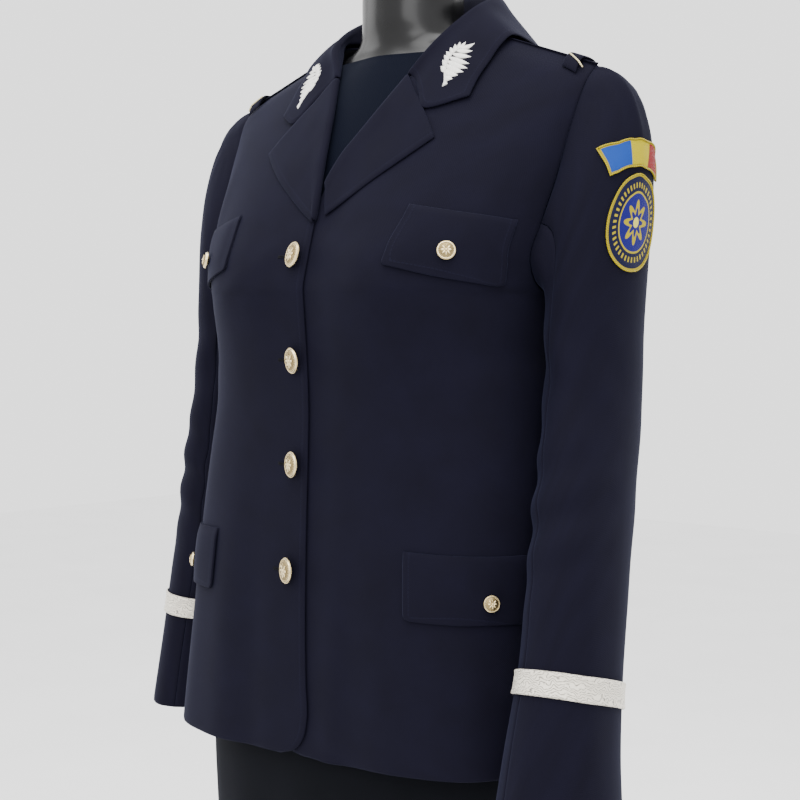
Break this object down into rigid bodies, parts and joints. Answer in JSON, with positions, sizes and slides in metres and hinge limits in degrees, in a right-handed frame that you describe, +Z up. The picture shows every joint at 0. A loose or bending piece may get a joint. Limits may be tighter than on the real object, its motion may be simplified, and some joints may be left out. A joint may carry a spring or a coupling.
{
  "type": "business suit on a dress form",
  "caption": "Women's uniform business suit, a dark navy notched-lapel jacket with flap pockets and a straight skirt, on a limbless black dress form with pole and round base.",
  "frame": {"origin": "on the floor, at the middle of the round base's underside", "axes": "+Z up, the suit faces -Y, the wearer's left side is toward +X"},
  "size_m": [0.593, 0.4, 1.5464],
  "materials": {
    "jacket_wool": "dark navy wool, matt",
    "skirt_wool": "dark navy wool, matt",
    "pale_brass": "pale gilt, domed, satin",
    "silver_braid": "silver thread",
    "patch_cloth": "stitched patch, blue field",
    "flag_cloth": "stitched tab, blue, yellow and red",
    "form_gloss_black": "gloss black",
    "cap_satin_black": "satin black",
    "pole_steel": "brushed",
    "base_black": "satin black paint"
  },
  "bodies": {
    "root": {"back_left": "jacket_wool", "back_right": "jacket_wool", "base": "base_black", "breast_button_left": "pale_brass", "breast_button_right": "pale_brass", "breast_flap_left": "jacket_wool", "breast_flap_right": "jacket_wool", "collar": "jacket_wool", "collar_sprig_left": "silver_braid", "collar_sprig_right": "silver_braid", "cuff_braid_left": "silver_braid", "cuff_braid_right": "silver_braid", "flag_tab": "flag_cloth", "form_torso": "form_gloss_black", "front_button_1": "pale_brass", "front_button_2": "pale_brass", "front_button_3": "pale_brass", "front_button_4": "pale_brass", "front_left": "jacket_wool", "front_right": "jacket_wool", "lapel_left": "jacket_wool", "lapel_right": "jacket_wool", "lower_button_left": "pale_brass", "lower_button_right": "pale_brass", "lower_flap_left": "jacket_wool", "lower_flap_right": "jacket_wool", "neck_cap": "cap_satin_black", "pole": "pole_steel", "pole_flange": "pole_steel", "shoulder_loop_left": "jacket_wool", "shoulder_loop_right": "jacket_wool", "skirt_back_left": "skirt_wool", "skirt_back_right": "skirt_wool", "skirt_front": "skirt_wool", "sleeve_patch": "patch_cloth", "sleeve_under_left": "jacket_wool", "sleeve_under_right": "jacket_wool", "sleeve_upper_left": "jacket_wool", "sleeve_upper_right": "jacket_wool", "waistband": "skirt_wool"}
  },
  "joints": []
}
